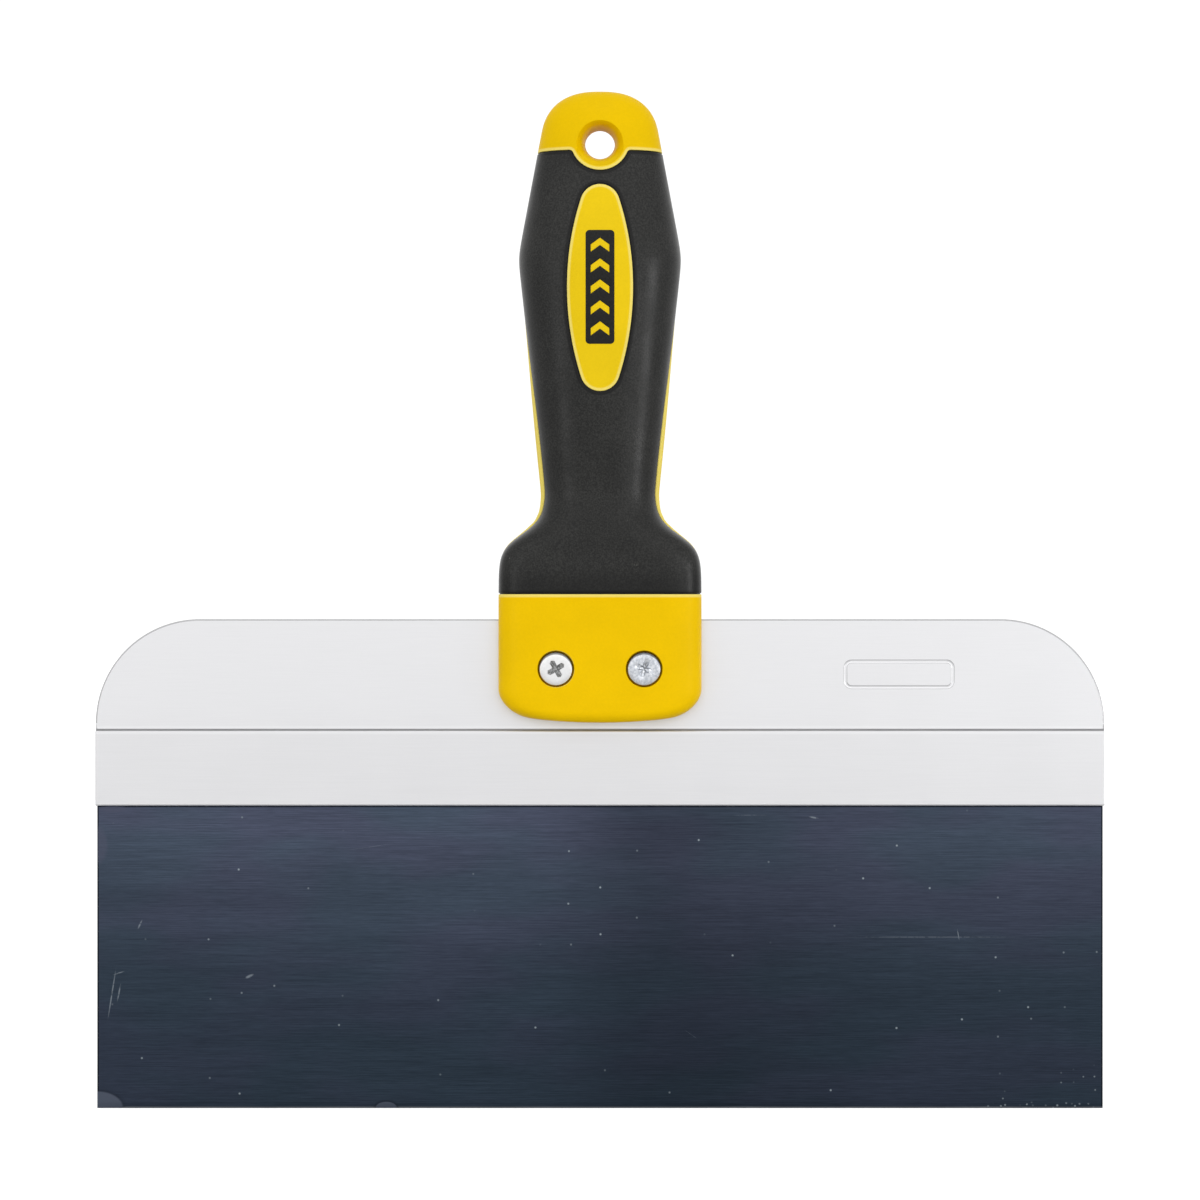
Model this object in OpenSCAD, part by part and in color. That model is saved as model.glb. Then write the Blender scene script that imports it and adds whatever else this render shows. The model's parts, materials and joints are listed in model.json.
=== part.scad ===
// Drywall taping knife: a wide spring-steel blade in an aluminium backing, on a two-shot soft-grip handle.
// Frame: +Z up along the handle, the blade in the XZ plane, the front face towards -Y,
// and the origin at the middle of the blade's working edge. All sizes are in millimetres.

/* [Blade] */
// Width of the blade along its working edge
blade_w = 254; // [200:1:300]
// Height of blade that shows below the backing
blade_show = 76.4; // [60:0.2:90]
// Thickness of the spring-steel sheet
blade_t = 0.5; // [0.4:0.05:0.6]
// Height of the ground bevel along the working edge
grind_h = 0.5; // [0.3:0.1:1.5]
// Thickness left at the ground edge
grind_t = 0.3; // [0.2:0.05:0.35]

/* [Backing] */
// Width of the backing
back_w = 254.6; // [200:0.2:300]
// Height of the thick band that grips the blade
band_h = 19; // [15:0.5:24]
// Thickness of the band
band_t = 3.8; // [3:0.1:5]
// Height of the thin plate above the band
plate_h = 28.1; // [26:0.1:32]
// Thickness of the plate
plate_t = 2; // [1.6:0.1:2.4]
// Radius of the plate's two upper corners
corner_r = 26.2; // [10:0.1:26.2]
// Depth of the slot that the blade sits in
slot_d = 12.4; // [8:0.1:14]

/* [Handle] */
// Length of the handle from its foot to its crown
handle_l = 159.1; // [150:0.1:165]
// Gap between the handle's foot and the band
foot_gap = 2.2; // [1:0.1:4]
// Width of the bolster
bolster_w = 51.2; // [46:0.1:60]
// Depth of the bolster, front to back
bolster_d = 21.4; // [20:0.1:24]
// Height of the bolster
bolster_h = 32.2; // [30:0.1:34]
// Width at the waist
waist_w = 28.1; // [26:0.1:32]
// Depth at the waist
waist_d = 21.8; // [20:0.1:24]
// Width where the two tapers of the palm swell cross
swell_w = 41.4; // [36:0.1:44]
// Depth where the two tapers of the palm swell cross
swell_d = 29.6; // [26:0.1:32]
// Width at the lower edge of the cap
cap_w = 31.5; // [28:0.1:34]
// Depth at the lower edge of the cap
cap_d = 19.6; // [18:0.1:22]
// Height of the cap above the soft grip
cap_h = 15.6; // [14:0.1:18]

/* [Soft grip] */
// Thickness of the soft grip
grip_t = 2.6; // [2:0.1:3]
// Gap line between the soft grip and the core
gap = 0.3; // [0.2:0.05:0.4]
// Width of the oval window
oval_w = 16.6; // [12:0.1:20]
// Height of the oval window
oval_h = 51.8; // [40:0.1:56]
// Radius of the oval window's two round ends
oval_tip_r = 5; // [3:0.1:7]
// Height that the core's side ribs stand proud of the grip
rib_proud = 0.8; // [0.2:0.1:1.2]
// Thickness of the side ribs at their middle
rib_t = 6; // [4:0.1:8]

/* [Hang hole] */
// Diameter of the hang hole's throat
hang_d = 7.5; // [6:0.1:8]
// Diameter of the flared mouths
mouth_d = 12.4; // [10:0.1:13]
// Length of the straight throat
throat_l = 4; // [3:0.1:6]
// Height of the hole below the crown
hang_drop = 13.4; // [13:0.1:15]

/* [Fasteners] */
// Distance between the two screws
screw_pitch = 22.1; // [18:0.1:26]
// Height of the screws above the handle's foot
screw_rise = 13.5; // [12:0.1:16]
// Diameter of the screw and nut heads
head_d = 8.3; // [7.6:0.1:8.6]
// Diameter of the counterbores
counterbore_d = 9.2; // [9:0.1:9.6]
// Depth of the heads below the bolster's face
head_sunk = 0.8; // [0.4:0.1:1.2]
// Nominal diameter of the screws
screw_d = 3.9; // [3.4:0.1:3.9]
// Outer diameter of the sleeve nuts
sleeve_d = 5.6; // [5:0.1:6]

/* [Hidden] */
$fn = 64;
fit = 0.05;          // clearance of the fitted faces, each side
far = 400;           // longer than anything it cuts

// Heights of the main features above the working edge
band_top = blade_show + band_h;
back_top = band_top + plate_h;
foot_z = band_top + foot_gap;
bolster_top = foot_z + bolster_h;
crown_z = foot_z + handle_l;
cap_z = crown_z - cap_h;
hang_z = crown_z - hang_drop;
screw_z = foot_z + screw_rise;

// Shape of the handle
waist_z = bolster_top + 25.2;      // narrowest point of the grip
swell_z = cap_z - 26.4;            // where the two tapers of the palm swell cross
flare_z = bolster_top + 15.1;      // middle of the flare between bolster and waist
flare_soft = 2.1;                  // how gently the flare turns
swell_soft = 0.4;                  // rounding of the palm swell's ridge
dome_z = crown_z - 10.6;           // where the crown starts to dome
dome_power = 2.55;                 // squareness of the crown's dome
foot_corner_r = 8;                 // rounding of the foot's lower corners, seen from the front
foot_edge_r = 2.6;                 // rounding of the foot's lower edges, seen from the side
foot_bow_r = 149;                  // the foot's lower edge is a shallow arc
foot_bow_h = 10;                   // height over which that arc fades out
grip_square = 2.35;                // squareness of the grip's section: 2 is an ellipse
bolster_square = 4.6;              // squareness of the bolster's section
ring_n = 40;                       // points around each ring of the skin
tab_r = 7.4;                       // the cap's round tab below the hang hole
plate_hole_d = sleeve_d + 0.3;     // clearance hole for a sleeve nut

// Side ribs
rib_low = bolster_top + 9;
rib_high = swell_z - 15;
rib_mid = (rib_low + rib_high) / 2;
rib_half = (rib_high - rib_low) / 2;
rib_peak_z = waist_z + 1;

// Fastener stack along Y, measured from the handle's middle plane
face_y = bolster_d / 2 - 0.06;     // the bolster's face at the screws
screw_head_h = 2.2;
nut_head_h = 1.7;
screw_seat = face_y - head_sunk - screw_head_h;
nut_seat = face_y - head_sunk - nut_head_h;
sleeve_end = 3.6;                  // the sleeve reaches this far in front of the middle plane
screw_end = 4.5;                   // the screw reaches this far behind the middle plane
thread_end = 6.2;                  // bottom of the sleeve's threaded bore

// Phillips recess and nut slot
recess_tip = 4.9;
recess_wall = 1.05;
recess_depth = 1.7;
recess_turn = [30, -22];           // how far each screw happened to be turned
slot_w = 1.2;
slot_depth = 0.8;

// Badge: a plain plaque in the front oval, with a column of chevron openings
badge_w = 7.2;
badge_h = 28.4;
badge_corner_r = 1;
chevron_n = 5;
chevron_w = 4.6;
chevron_rise = 1.7;
chevron_band = 1.8;
chevron_pitch = 5.2;
badge_depth = 1.4;
badge_raise = 0.12;
oval_z = swell_z - 8.3;

// Plain pressed frame on the backing's right-hand side
frame_x = 75.5;
frame_z = band_top + 14.2;
frame_w = 28;
frame_h = 7.4;
frame_line = 0.6;
frame_depth = 0.15;

// ---- curves of the handle ----

function soft_min(a, b, k) = -k * ln(exp(-a / k) + exp(-b / k));
function signed_pow(v, p) = sign(v) * pow(abs(v), p);

// 1 in the bolster, 0 in the grip
function flare(z) = 1 / (1 + exp((z - flare_z) / flare_soft));

// Half size of the grip: two straight tapers that meet in a rounded ridge
function tapers(z, waist, swell, cap) = soft_min(
    waist + (swell - waist) * max(0, z - waist_z) / (swell_z - waist_z),
    swell - (swell - cap) * (z - swell_z) / (cap_z - swell_z),
    swell_soft);

// The crown's dome scales the sections down to nothing
function dome(z) = z < dome_z ? 1
    : pow(max(0, 1 - pow((z - dome_z) / (crown_z - dome_z), dome_power)), 1 / dome_power);

// How far the foot's rounding of radius r pulls the surface in
function foot_round(z, r) = z > foot_z + r ? 0 : r - sqrt(r * r - pow(foot_z + r - z, 2));

function half_w(z) = dome(z) * (tapers(z, waist_w / 2, swell_w / 2, cap_w / 2) * (1 - flare(z))
    + bolster_w / 2 * flare(z)) - foot_round(z, foot_corner_r);
function half_d(z) = dome(z) * (tapers(z, waist_d / 2, swell_d / 2, cap_d / 2) * (1 - flare(z))
    + bolster_d / 2 * flare(z)) - foot_round(z, foot_edge_r);
function squareness(z) = grip_square + (bolster_square - grip_square) * flare(z);
function foot_bow(x, z) = max(0, 1 - (z - foot_z) / foot_bow_h) * x * x / (2 * foot_bow_r);

// One closed ring of the handle's surface, pulled in by inset
function ring(z, inset) = [for (i = [0:ring_n - 1]) let (
    p = 2 / squareness(z),
    x = (half_w(z) - inset) * signed_pow(cos(360 * i / ring_n), p),
    y = (half_d(z) - inset) * signed_pow(sin(360 * i / ring_n), p))
    [x, y, z + foot_bow(x, z)]];

foot_levels = [for (k = [0:5]) foot_z + foot_corner_r * (1 - cos(18 * k))];
flare_levels = [for (z = [bolster_top - 3:1.7:waist_z + 4]) z];
grip_levels = [for (z = [waist_z + 8:4.6:dome_z - 3]) z];
dome_levels = [for (k = [0:9]) dome_z + (crown_z - dome_z) * sin(9.3 * k)];
outer_levels = concat(foot_levels, flare_levels, grip_levels, dome_levels);
inner_levels = [for (k = [0:22]) bolster_top - 6 + (cap_z - bolster_top + 9.5) * k / 22];

// A closed skin through the rings at these levels, with a point at each end
module skin(levels, inset, low_z, high_z) {
    n = len(levels);
    points = concat([for (z = levels) each ring(z, inset)], [[0, 0, low_z], [0, 0, high_z]]);
    low = n * ring_n;
    high = low + 1;
    walls = [for (k = [0:n - 2], i = [0:ring_n - 1]) let (
        a = k * ring_n + i,
        b = k * ring_n + (i + 1) % ring_n)
        each [[a, b + ring_n, b], [a, a + ring_n, b + ring_n]]];
    foot = [for (i = [0:ring_n - 1]) [low, i, (i + 1) % ring_n]];
    top = [for (i = [0:ring_n - 1]) [high, (n - 1) * ring_n + (i + 1) % ring_n, (n - 1) * ring_n + i]];
    polyhedron(points, concat(walls, foot, top));
}

module outer_skin(raise = 0) {
    skin(outer_levels, -raise, foot_z, crown_z);
}

// Surface of the core under the soft grip
module inner_skin() {
    skin(inner_levels, grip_t, inner_levels[0] - 0.5, inner_levels[22] + 0.5);
}

// ---- shapes used more than once ----

// Turns a drawing in X and Z into a slab that is t thick, centred on the XZ plane
module slab(t) {
    rotate([90, 0, 0]) linear_extrude(t, center = true) children();
}

module round_rect(w, h, r) {
    square([w - 2 * r, h], center = true);
    square([w, h - 2 * r], center = true);
    for (sx = [-1, 1], sz = [-1, 1]) translate([sx * (w / 2 - r), sz * (h / 2 - r)]) circle(r);
}

function arc(x, z, r, start, end, steps) = [for (i = [0:steps]) let (t = start + (end - start) * i / steps)
    [x + r * cos(t), z + r * sin(t)]];

// Window with two long side arcs that run smoothly into round ends
module oval(grow = 0) {
    half = oval_w / 2;
    tip_z = oval_h / 2 - oval_tip_r;
    side_r = (half * half + tip_z * tip_z - oval_tip_r * oval_tip_r) / (2 * (half - oval_tip_r));
    turn = asin(tip_z / (side_r - oval_tip_r));
    translate([0, oval_z]) polygon(concat(
        arc(half - side_r, 0, side_r + grow, -turn, turn, 15),
        arc(0, tip_z, oval_tip_r + grow, turn + 8, 172 - turn, 11),
        arc(side_r - half, 0, side_r + grow, 180 - turn, 180 + turn, 15),
        arc(0, -tip_z, oval_tip_r + grow, 188 + turn, 352 - turn, 11)));
}

// The round tab of the cap that holds the hang hole
module tab(grow = 0) {
    translate([0, hang_z]) circle(tab_r + grow);
}

// A slim lens, pointed at both ends, that runs through the handle from side to side
module rib_lens(grow = 0) {
    r = (rib_half * rib_half + rib_t * rib_t / 4) / rib_t;
    translate([0, 0, rib_mid]) rotate([90, 0, 90]) linear_extrude(far, center = true)
        intersection() {
            translate([r - rib_t / 2, 0]) circle(r + grow, $fn = 200);
            translate([rib_t / 2 - r, 0]) circle(r + grow, $fn = 200);
        }
}

// Height of the rib above the grip: nothing at its ends, most near the waist
function rib_rise(z) = rib_proud * pow(cos(90 * (z - rib_peak_z)
    / (z > rib_peak_z ? rib_high - rib_peak_z : rib_peak_z - rib_low)), 1.2);

module rib_outline() {
    steps = 24;
    zs = [for (k = [0:steps]) rib_low + 2 * rib_half * k / steps];
    polygon(concat(
        [for (z = zs) [half_w(z) + rib_rise(z), z]],
        [for (k = [steps:-1:0]) [-half_w(zs[k]) - rib_rise(zs[k]), zs[k]]]));
}

module at_screws() {
    for (side = [0, 1]) translate([(side - 0.5) * screw_pitch, 0, screw_z]) children();
}

// A round bar along Y from y0 to y1
module bar(d, y0, y1) {
    translate([0, y1, 0]) rotate([90, 0, 0]) cylinder(d = d, h = y1 - y0);
}

module chevrons() {
    for (k = [0:chevron_n - 1]) translate([0, oval_z + (k - (chevron_n - 1) / 2) * chevron_pitch])
        polygon([
            [-chevron_w / 2, -chevron_rise], [0, 0], [chevron_w / 2, -chevron_rise],
            [chevron_w / 2, chevron_band - chevron_rise], [0, chevron_band],
            [-chevron_w / 2, chevron_band - chevron_rise]]);
}

// The badge as a block that reaches from in front of the handle to the pocket's floor
module badge_block() {
    block = 10;
    floor_y = half_d(oval_z) - badge_depth;
    translate([0, -floor_y - block / 2, 0]) slab(block) difference() {
        translate([0, oval_z]) round_rect(badge_w, badge_h, badge_corner_r);
        chevrons();
    }
}

// ---- sub-parts ----

// Spring-steel sheet, held in the backing's slot, with a ground working edge
module blade() {
    top = blade_show + slot_d - 0.3;
    color("#39424f")
        rotate([90, 0, 90]) linear_extrude(blade_w, center = true)
            polygon([
                [-grind_t / 2, 0], [grind_t / 2, 0], [blade_t / 2, grind_h],
                [blade_t / 2, top], [-blade_t / 2, top], [-blade_t / 2, grind_h]]);
}

// Section of the extrusion: thick band with a slot, thin plate above
module backing_section() {
    foot_r = 1;
    step_r = 0.5;
    top_r = 0.4;
    difference() {
        union() {
            translate([0, blade_show + foot_r]) for (s = [-1, 1])
                translate([s * (band_t / 2 - foot_r), 0]) circle(foot_r);
            translate([0, blade_show + band_h / 2]) square([band_t - 2 * foot_r, band_h], center = true);
            translate([0, blade_show + band_h / 2 + (foot_r - step_r) / 2])
                square([band_t, band_h - foot_r - step_r], center = true);
            translate([0, band_top - step_r]) for (s = [-1, 1])
                translate([s * (band_t / 2 - step_r), 0]) circle(step_r);
            translate([0, (band_top + back_top - top_r) / 2])
                square([plate_t, plate_h - top_r + 1], center = true);
            translate([0, back_top / 2 + band_top / 2])
                square([plate_t - 2 * top_r, plate_h + 1], center = true);
            translate([0, back_top - top_r + 0.5]) for (s = [-1, 1])
                translate([s * (plate_t / 2 - top_r), 0]) circle(top_r);
        }
        translate([0, blade_show + slot_d / 2 - 1]) square([blade_t + fit, slot_d + 2], center = true);
    }
}

// Front outline of the backing, with its two large upper corners
module backing_outline() {
    straight_h = back_top - corner_r;
    translate([-back_w / 2, 0]) square([back_w, straight_h]);
    translate([corner_r - back_w / 2, 0]) square([back_w - 2 * corner_r, back_top]);
    for (s = [-1, 1]) translate([s * (back_w / 2 - corner_r), straight_h]) circle(corner_r, $fn = 128);
}

module backing() {
    color("#d9dadc")
        difference() {
            intersection() {
                rotate([90, 0, 90]) linear_extrude(back_w + 2, center = true) backing_section();
                slab(band_t + 2) backing_outline();
            }
            at_screws() bar(plate_hole_d, -band_t, band_t);
            translate([frame_x, -plate_t / 2, frame_z]) slab(2 * frame_depth) difference() {
                round_rect(frame_w, frame_h, 2);
                round_rect(frame_w - 2 * frame_line, frame_h - 2 * frame_line, 2 - frame_line);
            }
        }
}

// Where the core shows between the parts of the soft grip, down to the handle's surface
module core_zones() {
    slab(far) oval();
    slab(far) tab();
    translate([-far / 2, -far / 2, 0]) cube([far, far, bolster_top]);
    translate([-far / 2, -far / 2, cap_z]) cube([far, far, far]);
}

// Hole through the bolster for one screw and its sleeve nut
module fastener_hole() {
    bar(counterbore_d, -far / 2, -screw_seat);
    bar(screw_d + 0.4, -screw_seat - 1, -sleeve_end);
    bar(plate_hole_d, -sleeve_end - 0.6, nut_seat + 1);
    bar(counterbore_d, nut_seat, far / 2);
}

// Hang hole: a straight throat with a flared mouth on each face
module hang_hole() {
    mouth_y = half_d(hang_z);
    over = 3;
    spread = (mouth_d - hang_d) / (2 * (mouth_y - throat_l / 2));
    translate([0, 0, hang_z]) {
        bar(hang_d, -mouth_y, mouth_y);
        for (s = [-1, 1]) rotate([-90 * s, 0, 0]) translate([0, 0, throat_l / 2])
            cylinder(
                h = mouth_y - throat_l / 2 + over,
                r1 = hang_d / 2,
                r2 = mouth_d / 2 + over * spread);
    }
}

// First shot: bolster, cap, ovals and side ribs, in one piece under the grip
module handle_core() {
    slot_top = back_top + 0.2;
    color("#efc708")
        difference() {
            union() {
                intersection() {
                    outer_skin();
                    core_zones();
                }
                inner_skin();
                intersection() {
                    slab(rib_t + 2) rib_outline();
                    rib_lens();
                }
            }
            translate([-far / 2, -plate_t / 2 - fit, 0]) cube([far, plate_t + 2 * fit, slot_top]);
            at_screws() fastener_hole();
            hang_hole();
            badge_block();
        }
}

// Second shot: the soft sleeve round the core, open at the ovals and at the side ribs
module soft_grip() {
    low = bolster_top + gap;
    color("#33342f")
        difference() {
            intersection() {
                outer_skin();
                translate([-far / 2, -far / 2, low]) cube([far, far, cap_z - gap - low]);
            }
            inner_skin();
            slab(far) oval(gap);
            slab(far) tab(gap);
            rib_lens(gap);
        }
}

// Black plaque let into the front oval, a hair proud of it; the core shows through its chevrons
module badge_inlay() {
    color("#1c1c1a")
        intersection() {
            outer_skin(badge_raise);
            badge_block();
        }
}

// Cross recess, turned by angle about the screw's own axis
module cross_recess(angle) {
    rotate([0, angle, 0]) for (quarter = [0, 90]) rotate([0, quarter, 0])
        cube([recess_tip, 2 * recess_depth, recess_wall], center = true);
}

// Two screws from the front
module handle_screws() {
    head_y = -screw_seat - screw_head_h;
    rim = 0.3;
    color("#c9cbce")
        for (side = [0, 1]) translate([(side - 0.5) * screw_pitch, 0, screw_z]) difference() {
            union() {
                bar(head_d - 2 * rim, head_y, -screw_seat);
                bar(head_d, head_y + rim, -screw_seat);
                bar(screw_d, -screw_seat - 1, screw_end);
            }
            translate([0, head_y, 0]) cross_recess(recess_turn[side]);
        }
}

// Two sleeve nuts from the back, each with a slotted head
module sleeve_nuts() {
    head_y = nut_seat + nut_head_h;
    rim = 0.3;
    color("#b9bbbe")
        at_screws() difference() {
            union() {
                bar(head_d - 2 * rim, nut_seat, head_y);
                bar(head_d, nut_seat, head_y - rim);
                bar(sleeve_d, -sleeve_end, nut_seat + 1);
            }
            bar(screw_d + 2 * fit, -sleeve_end - 1, thread_end);
            translate([0, head_y, 0]) cube([far, 2 * slot_depth, slot_w], center = true);
        }
}

blade();
backing();
handle_core();
soft_grip();
badge_inlay();
handle_screws();
sleeve_nuts();
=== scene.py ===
# Looks of the drywall taping knife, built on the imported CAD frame.
# Lengths are in millimetres, +Z runs up the handle and the front faces -Y; Blender's own data is in metres.
import json
import math

import bmesh
import bpy
import numpy as np
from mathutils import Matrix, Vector
from mathutils.geometry import delaunay_2d_cdt


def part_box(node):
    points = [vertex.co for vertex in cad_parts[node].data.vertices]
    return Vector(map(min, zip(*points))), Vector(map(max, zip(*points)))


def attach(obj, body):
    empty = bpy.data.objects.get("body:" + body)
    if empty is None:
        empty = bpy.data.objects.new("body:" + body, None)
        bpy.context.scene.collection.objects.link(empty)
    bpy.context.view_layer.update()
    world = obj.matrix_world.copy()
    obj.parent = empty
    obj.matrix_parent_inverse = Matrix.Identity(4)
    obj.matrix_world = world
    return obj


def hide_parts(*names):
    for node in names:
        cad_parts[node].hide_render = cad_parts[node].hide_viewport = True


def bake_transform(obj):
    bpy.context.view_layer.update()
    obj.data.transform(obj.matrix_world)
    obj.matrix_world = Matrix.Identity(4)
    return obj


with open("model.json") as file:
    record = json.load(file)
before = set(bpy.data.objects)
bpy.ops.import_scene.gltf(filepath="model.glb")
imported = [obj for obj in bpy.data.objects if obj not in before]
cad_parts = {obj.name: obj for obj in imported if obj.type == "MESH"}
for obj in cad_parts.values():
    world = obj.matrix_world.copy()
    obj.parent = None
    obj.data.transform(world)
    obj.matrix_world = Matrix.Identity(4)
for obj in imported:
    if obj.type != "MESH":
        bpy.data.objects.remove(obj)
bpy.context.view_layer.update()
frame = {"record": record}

MM = 0.001


def box_mm(node):
    """Lowest and highest corner of a CAD node."""
    low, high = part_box(node)
    return np.array(low) / MM, np.array(high) / MM


# ---- places, from the frame ----

blade_high = box_mm("blade")[1]
back_low, back_high = box_mm("backing")
core_low, core_high = box_mm("handle_core")
grip_low, grip_high = box_mm("soft_grip")
screw_low, screw_high = box_mm("handle_screws")
nut_low, nut_high = box_mm("sleeve_nuts")
hang_mount = frame["record"]["mounts"][0]
hang_z = hang_mount["pos_m"][2] / MM
hang_r = hang_mount["dims"]["r_mm"]
throat_l = hang_mount["dims"]["length_mm"]

# ---- sizes that the frame doesn't give, as in the CAD ----

gap = 0.3                                  # seam between soft grip and core
band_h = 19.0
plate_t = 2.0
backing_corner_r = 26.2
blade_slot_d = 12.4
blade_slot_fit = 0.025                     # clearance on each side of the blade
plate_fit = 0.05                           # clearance on each side of the plate in the handle
counterbore_r = 4.6
screw_head_h, nut_head_h = 2.2, 1.7
shank_r, sleeve_r = 1.95, 2.8
sleeve_bore_r, sleeve_bore_end = 2.0, 6.2
plate_hole_r = 2.95
hang_mouth_r = 6.2

# ---- places that follow ----

foot_z, crown_z = core_low[2], core_high[2]
bolster_top = grip_low[2] - gap
cap_z = grip_high[2] + gap
head_d = screw_high[2] - screw_low[2]
screw_z = (screw_high[2] + screw_low[2]) / 2
screw_x = (screw_high[0] - screw_low[0] - head_d) / 2
blade_show = back_low[2]
band_top = blade_show + band_h
back_top = back_high[2]

# ---- curves of the handle, as in the CAD ----

bolster_w, bolster_d = 51.2, 21.4
waist_w, waist_d = 28.1, 21.8
swell_w, swell_d = 41.4, 29.6
cap_w, cap_d = 31.5, 19.6
waist_z = bolster_top + 25.2
swell_z = cap_z - 26.4
flare_z, flare_soft = bolster_top + 15.1, 2.1
swell_soft = 0.4
dome_z, dome_power = crown_z - 10.6, 2.55
foot_corner_r, foot_edge_r = 8.0, 2.6
foot_bow_r, foot_bow_h = 149.0, 10.0
grip_square, bolster_square = 2.35, 4.6
grip_t = 2.6
tab_r = 7.4
oval_w, oval_h, oval_z = 16.6, 51.8, swell_z - 8.3
oval_tip_r = 5.0
rib_t, rib_proud = 6.0, 0.8
rib_low, rib_high = bolster_top + 9, swell_z - 15
rib_mid, rib_half = (rib_low + rib_high) / 2, (rib_high - rib_low) / 2
rib_peak_z = waist_z + 1


def soft_min(a, b, k):
    return -k * np.log(np.exp(-a / k) + np.exp(-b / k))


def flare(z):
    """1 in the bolster, 0 in the grip."""
    return 1 / (1 + np.exp((z - flare_z) / flare_soft))


def tapers(z, waist, swell, cap):
    rise = waist + (swell - waist) * np.maximum(0, z - waist_z) / (swell_z - waist_z)
    fall = swell - (swell - cap) * (z - swell_z) / (cap_z - swell_z)
    return soft_min(rise, fall, swell_soft)


def dome(z):
    t = np.clip((z - dome_z) / (crown_z - dome_z), 0, 1)
    return (1 - t**dome_power) ** (1 / dome_power)


def foot_round(z, r):
    up = np.clip(foot_z + r - z, 0, r)
    return r - np.sqrt(r * r - up * up)


def half_size(z, waist, swell, cap, bolster, corner_r):
    grip = tapers(z, waist / 2, swell / 2, cap / 2)
    return dome(z) * (grip * (1 - flare(z)) + bolster / 2 * flare(z)) - foot_round(z, corner_r)


def half_w(z):
    return half_size(z, waist_w, swell_w, cap_w, bolster_w, foot_corner_r)


def half_d(z):
    return half_size(z, waist_d, swell_d, cap_d, bolster_d, foot_edge_r)


def squareness(z):
    return grip_square + (bolster_square - grip_square) * flare(z)


def foot_bow(x, z):
    return np.maximum(0, 1 - (z - foot_z) / foot_bow_h) * x * x / (2 * foot_bow_r)


def on_skin(uv, inset):
    """Points of the handle's skin at (angle, height), pulled in by inset. Angle 0 is +X, and 90 the back."""
    angle, z = uv[:, 0], uv[:, 1]
    n = squareness(z)
    c, s = np.cos(angle), np.sin(angle)
    reach = (np.abs(c) ** n + np.abs(s) ** n) ** (-1 / n)
    x = (half_w(z) - inset) * c * reach
    y = (half_d(z) - inset) * s * reach
    return np.stack([x, y, z + foot_bow(x, z)], 1)


def facing(x, z, side):
    """(angle, height) of the skin's points at x and z on the front (side -1) or the back (side 1)."""
    n = squareness(z)
    across = np.clip(x / half_w(z), -1, 1)
    deep = side * (1 - np.abs(across) ** n) ** (1 / n)
    return np.stack([unwrap(np.arctan2(deep, across)), z], 1)


def flank(y, z, side):
    """(angle, height) of the skin's points at y and z on the left (side -1) or right (side 1) flank."""
    n = squareness(z)
    deep = np.clip(y / half_d(z), -1, 1)
    across = side * (1 - np.abs(deep) ** n) ** (1 / n)
    return np.stack([unwrap(np.arctan2(deep, across)), z], 1)


SEAM = -math.pi / 4                        # angle where the skin's sheet is cut open: no window lies there
TURN = 2 * math.pi


def unwrap(angle):
    return (angle - SEAM) % TURN + SEAM


# ---- seams: each curve is at distance d from the soft grip's edge, into the grip ----

RING_N = 144                               # points of a plain ring


def level(z):
    """A ring at one height, as an open row whose ends meet."""
    angles = np.linspace(SEAM, SEAM + TURN, RING_N + 1)
    return np.stack([angles, np.full(RING_N + 1, z)], 1)


def base_line(d):
    return level(bolster_top + gap + d)


def arc(cx, cz, r, start, end, n):
    """n + 1 points of an arc, from start to end degrees."""
    t = np.radians(np.linspace(start, end, n + 1))
    return np.stack([cx + r * np.cos(t), cz + r * np.sin(t)], 1)


def cap_line(d):
    """The soft grip's top edge: level, with a round dip below the hang hole on the front and the back."""
    corner_r = 0.8
    z = cap_z - gap
    dip_r = tab_r + gap
    corner_z = z - corner_r
    corner_x = math.sqrt((dip_r + corner_r) ** 2 - (hang_z - corner_z) ** 2)
    turn = math.degrees(math.atan2(hang_z - corner_z, corner_x))
    dip = np.concatenate([
        arc(-corner_x, corner_z, corner_r - d, 90, turn, 6),
        arc(0, hang_z, dip_r + d, 180 + turn, 360 - turn, 30)[1:-1],
        arc(corner_x, corner_z, corner_r - d, 180 - turn, 90, 6)])
    front = facing(dip[:, 0], dip[:, 1], -1)
    back = facing(-dip[:, 0], dip[:, 1], 1)

    def flat(start, end, n):
        angles = np.linspace(start, end, n + 1)
        return np.stack([angles, np.full(n + 1, z - d)], 1)

    return np.concatenate([
        flat(SEAM, back[0, 0], 34)[:-1], back, flat(back[-1, 0], front[0, 0], 50)[1:-1],
        front, flat(front[-1, 0], SEAM + TURN, 16)[1:]])


def oval(side):
    """The oval window: two long side arcs that run smoothly into round ends."""
    half, tip_z = oval_w / 2, oval_h / 2 - oval_tip_r
    side_r = (half**2 + tip_z**2 - oval_tip_r**2) / (2 * (half - oval_tip_r))
    turn = math.degrees(math.asin(tip_z / (side_r - oval_tip_r)))

    def curve(d):
        grow = gap + d
        line = np.concatenate([
            arc(half - side_r, 0, side_r + grow, -turn, turn, 40)[:-1],
            arc(0, tip_z, oval_tip_r + grow, turn, 180 - turn, 20)[:-1],
            arc(side_r - half, 0, side_r + grow, 180 - turn, 180 + turn, 40)[:-1],
            arc(0, -tip_z, oval_tip_r + grow, 180 + turn, 360 - turn, 20)[:-1]])
        return facing(line[:, 0], oval_z + line[:, 1], side)
    return curve


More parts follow.
